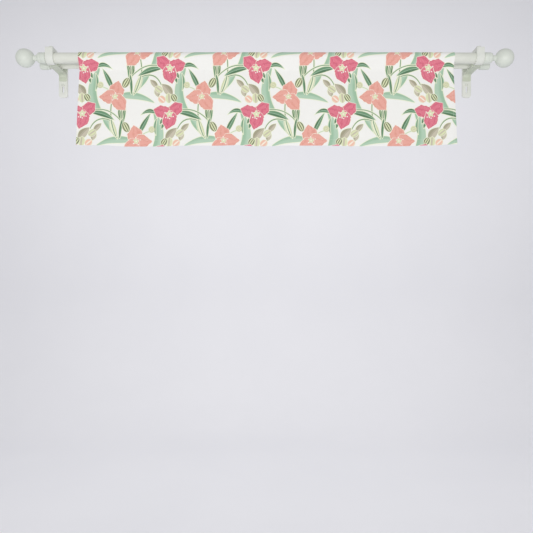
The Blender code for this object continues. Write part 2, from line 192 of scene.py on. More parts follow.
def cloth_section(spread):
    """Middle line of the cloth across the rod, as (offset from the rod's axis, z) points.

    It runs from the raw edge of the hem down to the bottom fold, up the front, over the rod, down
    to the pocket seam and on to the raw edge behind the seam. spread is what a side hem adds.
    """
    layer = LAYER + spread
    wrap_radius = ROD_RADIUS + GAP + CLOTH / 2.0 + 1.2 * spread
    fold_z = HEM_Z + CLOTH / 2.0 + layer
    points = line((layer, HEM_Z + HEM_DEPTH), (layer, fold_z), TURN_UP_STEPS)
    points += arc((0.0, fold_z), layer, 0.0, -180.0, FOLD_STEPS)
    reach = hypot(layer, SEAM_Z)
    lean = asin((wrap_radius - layer) / reach)
    bend = SEAM_ROUND * sin(lean) / (1.0 + cos(lean))
    part = arc((-layer - SEAM_ROUND, SEAM_Z - bend), SEAM_ROUND, 0.0, degrees(lean), SEAM_STEPS)
    wrap = arc((0.0, 0.0), wrap_radius, 180.0 + degrees(lean), -degrees(lean), WRAP_STEPS)
    points += line(points[-1], part[0], HANG_STEPS)[1:]
    points += part[:-1]
    points += line(part[-1], wrap[0], SIDE_STEPS)
    points += wrap
    back = [(-offset, z) for offset, z in reversed(part)]
    points += line(wrap[-1], back[0], SIDE_STEPS)[1:]
    points += back
    points += line(back[-1], (layer, SEAM_Z - SEAM_TAIL), TAIL_STEPS)[1:]
    points.append((layer, SEAM_Z - SEAM_TAIL))
    return points


def reverse_normals(points):
    """Directions from the middle line to the reverse side of the cloth, one for each point."""
    normals = []
    for index in range(len(points)):
        before = points[max(index - 1, 0)]
        after = points[min(index + 1, len(points) - 1)]
        along, up = after[0] - before[0], after[1] - before[1]
        length = hypot(along, up)
        normals.append((up / length, -along / length))
    return normals


def side_spread(fraction, extra):
    """How much further apart the layers are at a column, near a side hem."""
    from_edge = WIDTH_ON_ROD / 2.0 - abs(fraction * WIDTH_ON_ROD / 2.0 + extra)
    return SIDE_SPREAD * smooth_step((SPREAD_START - from_edge) / (SPREAD_START - SPREAD_END))


def gather(x, z, seam_z):
    """Small gathers along a seam at one height."""
    reach = max(1.0 - abs(z - seam_z) / GATHER_REACH, 0.0)
    wave = sum(sin(2.0 * pi * x / length + radians(phase)) for length, phase in GATHERS)
    return GATHER_DEPTH * reach * reach * wave


def crease(across, height):
    """Sum of the soft creases at a place on the hanging cloth."""
    total = 0.0
    for centre, level, length, width, depth, lean in CREASES:
        along = (height - level) / (length / 2.0)
        if abs(along) < 1.0:
            off = (across - centre - lean * (height - level)) / width
            total += depth * (1.0 - along * along) ** 2 / (1.0 + off * off) ** 2
    return total


def hang(fraction, extra, offset, z):
    """Place one point of the section at a fraction of the half width, and a little beyond it."""
    fall = min(max((SEAM_Z - z) / (SEAM_Z - HEM_Z), 0.0), 1.0)
    width = WIDTH_ON_ROD + (WIDTH_AT_HEM - WIDTH_ON_ROD) * fall ** FLARE_GROWTH
    across = fraction * width / 2.0 + extra
    x = CLOTH_SHIFT + across
    wave = 0.0
    for length, depth, phase in WAVES:
        wave += depth * sin(2.0 * pi * x / length + radians(phase))
    y = offset + wave * fall ** WAVE_GROWTH + crease(across, z - HEM_Z)
    y += gather(x, z, SEAM_Z) + gather(x + 0.5, z, HEM_Z + HEM_STITCH_RISE)
    share = 0.5 + across / width
    return (ROD[0] + x, ROD[1] + y, z - hem_dip(share) * fall)


def side_columns(side):
    """Columns of a side hem from its raw edge to the fold.

    Each is a tuple (fraction, extra, depth, normal, flat x). depth is how far the middle of the
    cloth lies towards the reverse side of the panel, and normal is the way to the right side of
    the cloth, across the panel and towards its depth.
    """
    radius = SIDE_LAYER / 2.0
    fold_length = pi * radius
    flat_edge = WIDTH_AT_HEM / 2.0
    columns = []
    for share in range(SIDE_HEM_STEPS):
        inset = SIDE_HEM + (radius - SIDE_HEM) * share / SIDE_HEM_STEPS
        flat = flat_edge + fold_length + inset - 2.0 * radius
        columns.append((side, -side * inset, SIDE_LAYER, (0.0, 1.0), side * flat))
    for step in range(SIDE_FOLD_STEPS + 1):
        angle = pi * (1.0 - step / SIDE_FOLD_STEPS)
        extra = side * (radius * sin(angle) - radius)
        depth = radius - radius * cos(angle)
        flat = flat_edge - radius + fold_length * (1.0 - step / SIDE_FOLD_STEPS)
        columns.append((side, extra, depth, (side * sin(angle), -cos(angle)), side * flat))
    return columns


def panel_columns():
    """All columns of the cloth from left to right."""
    left = side_columns(-1)
    right = list(reversed(side_columns(1)))
    inset = SIDE_LAYER / 2.0
    columns = []
    for step in range(1, COLUMNS):
        fraction = -1.0 + 2.0 * step / COLUMNS
        flat = fraction * (WIDTH_AT_HEM / 2.0 - inset)
        columns.append((fraction, -fraction * inset, 0.0, (0.0, -1.0), flat))
    return left + columns + right


def deselect_all():
    """Leave nothing selected."""
    bpy.ops.object.select_all(action="DESELECT")


def select_only(piece):
    """Select one piece and make it active."""
    deselect_all()
    piece.select_set(True)
    bpy.context.view_layer.objects.active = piece


def edit():
    """Go to edit mode."""
    bpy.ops.object.mode_set(mode="EDIT")


def edit_end():
    """Go back to object mode."""
    bpy.ops.object.mode_set(mode="OBJECT")


def select_mesh():
    """In edit mode, select all of the mesh."""
    bpy.ops.mesh.select_all(action="SELECT")


def fix_place():
    """Put the place of the selected piece into its mesh."""
    bpy.ops.object.transform_apply(location=True, rotation=True, scale=True)


def new_piece(name):
    """Name the primitive that was just added, put its place into its mesh and return it."""
    fix_place()
    piece = bpy.context.active_object
    piece.name = name
    return piece


def shade(piece, angle=32.0):
    """Shade a piece smooth, but for edges sharper than an angle in degrees."""
    select_only(piece)
    bpy.ops.object.shade_smooth_by_angle(angle=radians(angle))


def settle(piece, slot, node, *materials):
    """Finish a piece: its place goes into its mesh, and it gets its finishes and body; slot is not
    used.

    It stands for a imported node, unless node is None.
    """
    select_only(piece)
    fix_place()
    piece.data.materials.clear()
    for material in materials:
        piece.data.materials.append(material)
    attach(piece, "root")
    if node:
        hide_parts(node)
    return piece


def mesh_piece(name, points, faces):
    """A piece made from points and faces."""
    mesh = bpy.data.meshes.new(name)
    mesh.from_pydata(points, [], faces)
    piece = bpy.data.objects.new(name, mesh)
    bpy.context.scene.collection.objects.link(piece)
    return piece


def turned(name, start, way, profile, sides):
    """Turn a round piece: a disc that is extruded from station to station along way.

    The profile's rows are (distance from start, radius).
    """
    start = Vector(start)
    deselect_all()
    bpy.ops.mesh.primitive_circle_add(
        vertices=sides,
        radius=profile[0][1],
        fill_type="NGON",
        location=start + way * profile[0][0],
        rotation=UP.rotation_difference(way).to_euler(),
    )
    piece = new_piece(name)
    edit()
    select_mesh()
    for (before, old), (after, new) in zip(profile, profile[1:]):
        step = way * (after - before)
        bpy.ops.mesh.extrude_region_move(TRANSFORM_OT_translate={"value": step})
        scale = [1.0 if abs(part) > 0.5 else new / old for part in way]
        bpy.ops.transform.resize(value=scale, center_override=start + way * after)
    select_mesh()
    bpy.ops.mesh.normals_make_consistent(inside=False)
    edit_end()
    shade(piece, 35.0)
    return piece


def block(name, low, high):
    """A block between two corners, to be shaped further."""
    deselect_all()
    centre = [(a + b) / 2.0 for a, b in zip(low, high)]
    size = [b - a for a, b in zip(low, high)]
    bpy.ops.mesh.primitive_cube_add(size=1.0, location=centre, scale=size)
    return new_piece(name)


def drum(name, centre, radius, length, way, sides):
    """A round bar around a centre, along way, to be shaped further."""
    deselect_all()
    turn = UP.rotation_difference(way).to_euler()
    bpy.ops.mesh.primitive_cylinder_add(
        vertices=sides, radius=radius, depth=length, location=centre, rotation=turn
    )
    return new_piece(name)


def pick(piece, kind, test):
    """In edit mode, select only the verts, edges or faces whose middle and way pass a test."""
    mode = {"verts": "VERT", "edges": "EDGE", "faces": "FACE"}[kind]
    bpy.ops.mesh.select_mode(type=mode)
    bpy.ops.mesh.select_all(action="DESELECT")
    bm = bmesh.from_edit_mesh(piece.data)
    for part in getattr(bm, kind):
        places = [part.co] if kind == "verts" else [corner.co for corner in part.verts]
        centre = sum(places, Vector()) / len(places)
        way = places[1] - places[0] if kind == "edges" else part.normal
        part.select_set(bool(test(centre, way.normalized())))
    bm.select_flush_mode()
    bmesh.update_edit_mesh(piece.data)


def near(a, b):
    """Whether two lengths are the same."""
    return abs(a - b) < SAME


def round_off(piece, radius, segments, way, **places):
    """In edit mode, round the edges along one axis that lie at some places on the others."""
    def test(spot, along):
        return abs(getattr(along, way)) > 0.9 and all(
            near(getattr(spot, axis), place) for axis, place in places.items()
        )

    pick(piece, "edges", test)
    bpy.ops.mesh.bevel(offset=radius, segments=segments, profile=0.5, affect="EDGES")


def slice_at(y):
    """In edit mode, cut the faces along an upright plane and keep both sides."""
    select_mesh()
    bpy.ops.mesh.bisect(plane_co=(0, y, 0), plane_no=(0, 1, 0), use_fill=False)


def grow(piece, test, step):
    """In edit mode, pull out the faces that pass a test."""
    pick(piece, "faces", test)
    bpy.ops.mesh.extrude_region_move(TRANSFORM_OT_translate={"value": step})


def apply_modifier(piece, kind, **settings):
    """Add a modifier with its settings and apply it."""
    select_only(piece)
    modifier = piece.modifiers.new("shape", kind)
    for name, value in settings.items():
        setattr(modifier, name, value)
    bpy.ops.object.modifier_apply(modifier=modifier.name)


def cut(piece, tool):
    """Cut a tool's shape out of a piece."""
    apply_modifier(piece, "BOOLEAN", operation="DIFFERENCE", solver="EXACT", object=tool)
    bpy.data.objects.remove(tool, do_unlink=True)


def soften(piece, width, segments=3):
    """Round the sharp edges of a piece and shade it."""
    select_only(piece)
    edit()
    select_mesh()
    bpy.ops.mesh.remove_doubles(threshold=0.00002)
    bpy.ops.mesh.normals_make_consistent(inside=False)
    edit_end()
    apply_modifier(
        piece,
        "BEVEL",
        width=width,
        segments=segments,
        limit_method="ANGLE",
        angle_limit=radians(50.0),
        harden_normals=False,
        miter_outer="MITER_ARC",
    )
    shade(piece)


def operator(operation, swapped=False):
    """A Python operator on sockets that adds a Math node."""
    def act(self, *others):
        values = (*others, self) if swapped else (self, *others)
        return self.finish.math(operation, *values)

    return act


class Signal:
    """A socket that takes part in shader maths written as Python expressions."""

    def __init__(self, finish, socket):
        self.finish = finish
        self.socket = socket

    __add__ = operator("ADD")
    __radd__ = operator("ADD", swapped=True)
    __sub__ = operator("SUBTRACT")
    __rsub__ = operator("SUBTRACT", swapped=True)
    __mul__ = operator("MULTIPLY")
    __rmul__ = operator("MULTIPLY", swapped=True)
    __truediv__ = operator("DIVIDE")
    __abs__ = operator("ABSOLUTE")

    def sine(self):
        """Sine of an angle in radians."""
        return self.finish.math("SINE", self)

    def root(self):
        """Square root, 0 below 0."""
        return self.finish.math("SQRT", self)

    def plus(self, factor, rest):
        """This value times a factor, plus the rest, in one node."""
        return self.finish.math("MULTIPLY_ADD", self, factor, rest)

    def step(self, start=0.0, width=1.0):
        """A mask that goes from 0 at start to 1 at start + width."""
        return self.finish.math("MULTIPLY_ADD", self, 1.0 / width, -start / width, clamp=True)


class Nodes:
    """A tree of nodes, built from expressions."""

    def __init__(self, tree):
        self.tree = tree
        self.tree.nodes.clear()

    def node(self, kind, inputs=None, **settings):
        """Add a node: its settings first, then the values or links of its sockets."""
        node = self.tree.nodes.new(kind)
        for name, value in settings.items():
            setattr(node, name, value)
        for key, value in (inputs or {}).items():
            if isinstance(value, Signal):
                self.tree.links.new(value.socket, node.inputs[key])
            else:
                node.inputs[key].default_value = value
        return node

    def signal(self, kind, output, inputs=None, **settings):
        """Add a node and take one of its outputs."""
        return Signal(self, self.node(kind, inputs, **settings).outputs[output])

    def math(self, operation, *values, clamp=False):
        """Add a Math node on some values."""
        sockets = dict(enumerate(values))
        return self.signal("ShaderNodeMath", 0, sockets, operation=operation, use_clamp=clamp)

    def mix(self, share, low, high):
        """Mix two colours."""
        return self.signal("ShaderNodeMix", 2, {0: share, 6: low, 7: high}, data_type="RGBA")

    def noise(self, place, scale, detail=2.0, roughness=0.5):
        """Smooth noise from 0 to 1."""
        inputs = {"Vector": place, "Scale": scale, "Detail": detail, "Roughness": roughness}
        return self.signal("ShaderNodeTexNoise", "Fac", inputs)

    def parts(self, vector):
        """X, Y and Z of a vector."""
        node = self.node("ShaderNodeSeparateXYZ", {0: vector})
        return [Signal(self, output) for output in node.outputs]

    def place(self):
        """Place on the piece, in metres."""
        return self.signal("ShaderNodeTexCoord", "Object")

    def bump(self, height, distance, strength=1.0):
        """Surface relief in metres."""
        inputs = {"Height": height, "Distance": distance, "Strength": strength}
        return self.signal("ShaderNodeBump", 0, inputs)

    def call(self, group, inputs):
        """Add a node group and take its first output."""
        return self.signal("ShaderNodeGroup", 0, inputs, node_tree=group)


class Finish(Nodes):
    """One material."""

    def __init__(self, name):
        self.material = bpy.data.materials.new(name)
        self.material.use_nodes = True
        super().__init__(self.material.node_tree)

    def surface(self, **inputs):
        """Add the shader and the output, and return the material."""
        named = {name.replace("_", " "): value for name, value in inputs.items()}
        shader = self.signal("ShaderNodeBsdfPrincipled", 0, named)
        self.node("ShaderNodeOutputMaterial", {0: shader})
        return self.material


def colour(code):
    """Linear colour of a six-digit sRGB code."""
    levels = [int(code[start:start + 2], 16) / 255.0 for start in (0, 2, 4)]
    linear = [v / 12.92 if v < 0.04045 else ((v + 0.055) / 1.055) ** 2.4 for v in levels]
    return (*linear, 1.0)


# Paints of the print
GROUND = colour("F5F5F1")
PINK = colour("E17389")
DEEP_PINK = colour("CB5470")
CORAL = colour("ECA99B")
DEEP_CORAL = colour("DF9283")
CREAM = colour("FAEEDD")
HALO = colour("EEF2D4")
LIME = colour("DEE4B8")
PALE_LEAF = colour("B2D0B7")
SHADED_LEAF = colour("9DC2A4")
DARK_LEAF = colour("66936F")
DEEPEST_LEAF = colour("4A7753")
OUTLINE = colour("97A987")
TAUPE = colour("C8C1AD")
DARK_TAUPE = colour("A39E85")
BUD_LINE = colour("66704F")
PEACH = colour("F1C2AC")
WHITE_DOT = colour("FDF9F2")

# The repeat, in millimetres on the cloth
REPEAT = 315.5
ROW = 157.5                       # each row is the mirror of the row below
MIRROR_LINE = -37.5               # from the middle of the cloth
FIRST_ROW = 277.5                 # height of a row of pink flowers above the bottom fold
SOFT = 0.7                        # width of a paint's edge


class Group(Nodes):
    """A node group with its inputs, which gives a colour."""

    def __init__(self, name, *inputs):
        super().__init__(bpy.data.node_groups.new(name, "ShaderNodeTree"))
        for socket in inputs:
            kind = "NodeSocketColor" if socket == "Colour" else "NodeSocketFloat"
            self.tree.interface.new_socket(name=socket, in_out="INPUT", socket_type=kind)
        sockets = self.tree.interface
        sockets.new_socket(name="Colour", in_out="OUTPUT", socket_type="NodeSocketColor")
        given = self.node("NodeGroupInput")
        self.given = [Signal(self, output) for output in given.outputs[:len(inputs)]]

    def close(self, paint):
        """Add the output, and return the group."""
        self.node("NodeGroupOutput", {0: paint})
        return self.tree


class Motifs(Group):
    """One group of printed motifs, laid on the colour below, in millimetres on the cloth.

    Places are given from the middle of a pink flower. The whole cloth is folded into one repeat
    around the group's centre, and every second row is mirrored, and drops a little lower.
    """

    def __init__(self, name, centre_x, centre_y, drop=0.0):
        super().__init__(name, "Colour", "Across", "Height")
        self.colour, across, height = self.given
        high = height - centre_y
        in_row = self.math("WRAP", high, ROW / 2.0, -ROW / 2.0)
        mirror = self.math("COSINE", (high - in_row) * (pi / ROW))
        wide = mirror.plus(across, -centre_x)
        self.x = self.math("WRAP", wide, REPEAT / 2.0, -REPEAT / 2.0) + centre_x
        self.y = in_row + centre_y
        if drop:
            self.y = mirror.plus(-drop / 2.0, self.y + drop / 2.0)
        spot = self.signal("ShaderNodeCombineXYZ", 0, {0: self.x, 1: self.y})
        self.ragged = self.noise(spot, 0.11, 1.0) - 0.5
        self.mottled = self.noise(spot, 0.26, 2.0) - 0.5

    def lay(self, mask, paint):
        """Lay paint where the mask is 1."""
        self.colour = self.mix(mask, self.colour, paint)

    def draw(self, reach, paint, edge=None, edge_width=0.9):
        """Lay a motif with the pale rim around it, and with a line along its edge."""
        self.lay(reach.step(-2.8, 1.4) * 0.9, HALO)
        if edge:
            paint = self.mix(reach.step(edge_width, SOFT), edge, paint)
        self.lay(reach.step(0.0, SOFT), paint)

    def along(self, start, end):
        """Share of the way from start to end, the distance to its left, and its length."""
        dx, dy = end[0] - start[0], end[1] - start[1]
        length = hypot(dx, dy)
        rows = []
        for a, b in ((dx / length ** 2, dy / length ** 2), (-dy / length, dx / length)):
            rest = -(start[0] * a + start[1] * b)
            rows.append(self.x.plus(a, self.y.plus(b, rest)))
        return rows[0], rows[1], length

    def bowed(self, start, end, bow):
        """A bowed way from start to end, whose middle lies bow to the left of the straight one.

        Gives the share of the way, a swell between the ends, how far a place lies to its left,
        and how far it lies from the ends.
        """
        way, left, length = self.along(start, end)
        swell = way * (1.0 - way)
        inside = self.math("MAXIMUM", swell, 0.0)
        return way, inside, inside.plus(-4.0 * bow, left), swell * length

    def leaf(
        self, start, end, bow, width, fill, shade=None, rib=None, edge=None, lean=0.0, full=False
    ):
        """A leaf. lean makes it wider near its start, and full makes its ends rounder."""
        way, inside, off, ends = self.bowed(start, end, bow)
        half = inside.root() * width if full else inside * (2.0 * width)
        if lean:
            half = half * way.plus(-2.0 * lean, 1.0 + lean)
        reach = self.math("MINIMUM", half - abs(off), ends)
        paint = fill
        if shade:
            paint = self.mix(off.step(-0.05 * width, 0.25 * width), paint, shade)
        if rib:
            paint = self.mix((1.0 - abs(off)).step(0.0, SOFT), paint, rib)
        self.draw(reach, paint, edge)

    def stem(self, start, end, bow, width, fill):
        """A stem of even width."""
        off, ends = self.bowed(start, end, bow)[2:]
        self.draw(self.math("MINIMUM", width / 2.0 - abs(off), ends), fill)

    def petal(self, start, end, width, fill, deep, full=0.7, skew=0.0):
        """A broad petal from its base to its tip. It is full-width up to a share of its length."""
        way, left = self.along(start, end)[:2]
        if skew:
            left = way * way * skew + left
        half = width / 2.0
        rise = way.plus(half / 0.30, 0.35 * half)
        fall = way.plus(-half / (1.03 - full), half * 1.03 / (1.03 - full))
        across = self.math("SMOOTH_MIN", rise, fall, 7.0)
        across = self.math("SMOOTH_MIN", across, half, 4.0)
        reach = self.ragged.plus(6.0, across - abs(left))
        fan = left / (abs(across) + 6.0)
        veins = (fan * 10.5 + self.ragged * 7.0).sine().step(0.35, 0.8) * way.step(0.1, 0.4)
        light = self.mottled.plus(1.0, veins * -0.2).step(0.04, 0.22)
        self.lay(reach.step(-0.5, SOFT), CREAM)
        paint = self.mix(veins * 0.75, fill, deep)
        paint = self.mix(light * 0.20, paint, CREAM)
        paint = self.mix(reach.step(2.4, 1.4), deep, paint)
        self.lay(reach.step(1.5, 0.8), paint)

    def bud(self, start, end, width, fill, stripe, stripes, edge=None):
        """A round bud with stripes that follow its length."""
        way, left, length = self.along(start, end)
        from_middle = way * 2.0 - 1.0
        swell = 1.0 - from_middle * from_middle
        half = swell.root() * (width / 2.0)
        reach = self.math("MINIMUM", half - abs(left), swell * (length / 4.0))
        turn = left / (half + 0.6) * (pi * stripes) + 1.2
        paint = self.mix(turn.sine().step(0.0, 0.5), fill, stripe)
        self.draw(reach, paint, edge, 1.3)

    def around(self, centre):
        """Distance from a centre, and its parts to the right and up."""
        right = self.x - centre[0]
        up = self.y - centre[1]
        return (right * right + up * up).root(), right, up

    def dot(self, centre, radius, fill):
        """A small round dot."""
        off = self.around(centre)[0]
        self.lay((radius - off).step(0.0, SOFT), fill)

    def star(self, centre, radius, points, turn, fill, edge):
        """The rayed middle of a flower."""
        off, right, up = self.around(centre)
        rays = (self.math("ARCTAN2", up, right) * points + turn).sine()
        reach = rays.plus(radius * 0.22, self.ragged.plus(8.0, radius - off))
        self.lay(reach.step(0.0, SOFT), edge)
        self.lay(reach.step(1.5, SOFT), fill)

    def curl(self, centre, radius, fill, line_paint):
        """A round bud with a curled line."""
        off, right, up = self.around(centre)
        wave = (off * (2.0 * pi / 6.0) + self.math("ARCTAN2", up, right)).sine()
        paint = self.mix(wave.step(0.45, 0.4), fill, line_paint)
        self.lay((radius - off).step(0.0, SOFT), paint)


def broad_leaves():
    """Broad leaves low in the row."""
    cloth = Motifs("broad_leaves", -30.0, -78.75)
    cloth.leaf((-180, -97), (-55, -122), 10, 22, PALE_LEAF, SHADED_LEAF, lean=0.5, full=True)
    cloth.leaf((56, 6), (94, -192), -40, 31, PALE_LEAF, SHADED_LEAF, full=True)
    cloth.leaf((43, -18), (46, -80), 7, 8, DARK_LEAF, SHADED_LEAF)
    cloth.stem((70, -67), (100, -82), 2, 2.4, PALE_LEAF)
    cloth.curl((62, -60), 12, LIME, TAUPE)
    cloth.leaf((66, 0), (110, -80), 2, 16, DARK_LEAF, DEEPEST_LEAF, rib=PALE_LEAF, lean=-0.35)
    return cloth.close(cloth.colour)


def stems():
    """Stems, buds and thin leaves to the left of the pink flower, and the seed heads."""
    cloth = Motifs("stems", -100.0, -30.0)
    cloth.leaf((-74, -19), (-132, -94), -4, 22, PALE_LEAF, SHADED_LEAF, lean=0.35)
    cloth.leaf((-103, -18), (-131, -94), 3, 19, LIME, HALO, rib=OUTLINE, edge=OUTLINE)
    cloth.stem((-106, 36), (-126, -86), 9, 3.8, DARK_LEAF)
    cloth.leaf((-156, 20), (-145, -54), 1, 12, DARK_LEAF, DEEPEST_LEAF, rib=LIME, lean=0.35)
    cloth.leaf((-132, 20), (-148, -52), 1, 11, DARK_LEAF, DEEPEST_LEAF, rib=LIME, lean=0.35)
    cloth.stem((-143, 18), (-146, -40), 0, 3.6, DEEPEST_LEAF)
    cloth.leaf((-147, -22), (-139, -92), 2, 9, DARK_LEAF, DEEPEST_LEAF, full=True)
    cloth.bud((-169, -68), (-151, -35), 24, LIME, BUD_LINE, 3.0, edge=BUD_LINE)
    cloth.stem((-36, 8), (-139, -27), -15, 3.6, DARK_LEAF)
    cloth.leaf((-24, 0), (-118, -28), -8, 19, DARK_LEAF, DEEPEST_LEAF, rib=PALE_LEAF)
    cloth.stem((-104, -30), (-31, -60), 19, 4.0, DARK_LEAF)
    lines = {"rib": DARK_TAUPE, "edge": DARK_TAUPE}
    cloth.leaf((-72, -41), (-42, -74), 2, 18, TAUPE, DARK_TAUPE, lean=0.1, **lines)
    cloth.leaf((-29, -56), (10, -103), 4, 29, TAUPE, DARK_TAUPE, lean=-0.1, **lines)
    cloth.leaf((-52, -70), (-41, -102), 2, 20, TAUPE, DARK_TAUPE, edge=DARK_TAUPE)
    cloth.bud((-52, -66), (-27, -84), 23, LIME, TAUPE, 2.0, edge=TAUPE)
    return cloth.close(cloth.colour)


def coral_flower():
    """Coral flower."""
    cloth = Motifs("coral_flower", -117.0, 55.0)
    cloth.petal((-115, 50), (-131, 112), 57, CORAL, DEEP_CORAL, 0.60, 3.0)
    cloth.petal((-123, 56), (-57, 54), 51, CORAL, DEEP_CORAL, 0.50)
    cloth.petal((-112, 60), (-158, 11), 51, CORAL, DEEP_CORAL, 0.66, -3.0)
    cloth.star((-117, 56), 10.0, 5.0, 0.7, LIME, CREAM)
    cloth.dot((-117, 56), 3.2, CREAM)
    for place in ((-127, 48), (-109, 44), (-102, 61), (-119, 69)):
        cloth.dot(place, 2.3, WHITE_DOT)
    return cloth.close(cloth.colour)


def buds():
    """Three buds above the pink flower."""
    cloth = Motifs("buds", 8.0, 20.0)
    cloth.bud((1, 34), (4, 68), 22, LIME, TAUPE, 1.5)
    cloth.bud((17, 38), (38, 56), 24, PEACH, CREAM, 2.0, edge=PEACH)
    cloth.bud((-24, 40), (-9, 64), 21, LIME, BUD_LINE, 3.0, edge=BUD_LINE)
    return cloth.close(cloth.colour)


def pink_flower():
    """Pink flower with its leaves."""
    cloth = Motifs("pink_flower", 0.0, 0.0, drop=6.0)
    cloth.leaf((40, -1), (103, -3), 14, 14, DARK_LEAF, DEEPEST_LEAF, rib=PALE_LEAF, lean=0.2)
    cloth.leaf((17, -11), (32, -36), 2, 10, DEEPEST_LEAF, DARK_LEAF)
    cloth.leaf((14, -29), (26, -53), 2, 9, DARK_LEAF, DEEPEST_LEAF)
    cloth.petal((6, -5), (-47, 36), 46, PINK, DEEP_PINK, 0.75, 1.0)
    cloth.petal((-4, -1), (56, 20), 46, PINK, DEEP_PINK, 0.70, 3.0)
    cloth.petal((-8, 8), (4, -56), 50, PINK, DEEP_PINK, 0.64, -5.0)
    cloth.star((-1, 0), 11.5, 5.0, 0.4, LIME, CREAM)
    cloth.dot((-1, 0), 3.6, CREAM)
    for place in ((-15, -9), (12, -12), (-2, -16), (15, 6), (4, -14)):
        cloth.dot(place, 2.5, WHITE_DOT)
    return cloth.close(cloth.colour)


def printed_flowers():
    """The whole repeat, from what lies behind to what lies in front."""
    cloth = Group("printed_flowers", "Across", "Height")
    across, height = [signal * 1000.0 for signal in cloth.given]
    across = across - MIRROR_LINE
    height = height - FIRST_ROW
    paint = GROUND
    for group in (broad_leaves(), stems(), coral_flower(), buds(), pink_flower()):
        paint = cloth.call(group, {0: paint, 1: across, 2: height})
    return cloth.close(paint)


# Weave
WEAVE = 0.00052                   # from one thread to the next
WEAVE_DEPTH = 0.00006
THREADS = ((900.0, 28.0, 1.0), (28.0, 900.0, 1.0))  # scale of their thick and thin places
SHOW_THROUGH = 0.16               # share of the print that shows on the reverse side


def cloth_finish(name, pattern, show_through):
    """Plain-woven cloth with its print, or the reverse side, where only a little of it shows."""
    finish = Finish(name)
    flat = finish.signal("ShaderNodeUVMap", 0, uv_map="flat_cloth")
    across, height = finish.parts(flat)[:2]
    flowers = finish.call(pattern, {0: across, 1: height})
    if show_through < 1.0:
        flowers = finish.mix(show_through, GROUND, flowers)
    threads = 0.0
    for scale in THREADS:
        inputs = {0: flat, 1: scale}
        place = finish.signal("ShaderNodeVectorMath", 0, inputs, operation="MULTIPLY")
        threads = finish.noise(place, 1.0, 1.0) + threads
    slub = (threads - 1.0).step(-0.5, 1.0)
    paint = finish.mix(slub * 0.10, flowers, colour("B9B6AB"))
    cloudy = finish.noise(flat, 9.0, 3.0)
    paint = finish.mix(cloudy * 0.05, paint, colour("D9D6C9"))
    ridges = (across * (2.0 * pi / WEAVE)).sine() * (height * (2.0 * pi / WEAVE)).sine()
    relief = ridges * 0.5 + slub
    return finish.surface(
        Base_Color=paint,
        Roughness=(slub * 0.12) + 0.80,
        Specular_IOR_Level=0.22,
        Sheen_Weight=0.12,
        Sheen_Roughness=0.5,
        Normal=finish.bump(relief, WEAVE_DEPTH),
    )


def paint_finish(name, base, shaded, worn, roughness):
    """Satin enamel on metal: fine peel, uneven tone and a few rubbed places."""
    base, shaded, worn = colour(base), colour(shaded), colour(worn)
    finish = Finish(name)
    place = finish.place()
    tone = finish.noise(place, 24.0, 4.0, 0.6)
    peel = finish.noise(place, 750.0, 2.0)
    rubbed = finish.noise(place, 62.0, 6.0, 0.72).step(0.66, 0.06)
    paint = finish.mix(tone.step(0.3, 0.4), base, shaded)
    paint = finish.mix(rubbed * 0.5, paint, worn)
    return finish.surface(
        Base_Color=paint,
        Roughness=(peel * 0.10) + (tone * 0.12) + roughness,
        Specular_IOR_Level=0.45,
        Coat_Weight=0.15,
        Coat_Roughness=0.25,
        Normal=finish.bump(peel + rubbed * 0.6, 0.00010, 0.6),
    )


THREAD_TWIST = 0.0007


def thread_finish(name):
    """Twisted sewing thread."""
    finish = Finish(name)
    place = finish.place()
    places = finish.parts(place)
    twist = ((places[0] + places[2] * 1.4) * (2.0 * pi / THREAD_TWIST)).sine()
    tone = finish.noise(place, 420.0, 2.0)
    paint = finish.mix(tone, colour("F4F3EC"), colour("DEDCCF"))
    return finish.surface(
        Base_Color=paint,
        Roughness=(twist * 0.05) + 0.62,
        Specular_IOR_Level=0.35,
        Sheen_Weight=0.2,
        Normal=finish.bump(twist, 0.00004),
    )


def stage_finish(name, base):
    """Plain matt studio paper."""
    finish = Finish(name)
    tone = finish.noise(finish.place(), 1.4, 3.0)
    return finish.surface(
        Base_Color=finish.mix(tone * 0.3, base, colour("DFE0E5")),
        Roughness=0.9,
        Specular_IOR_Level=0.1,
    )


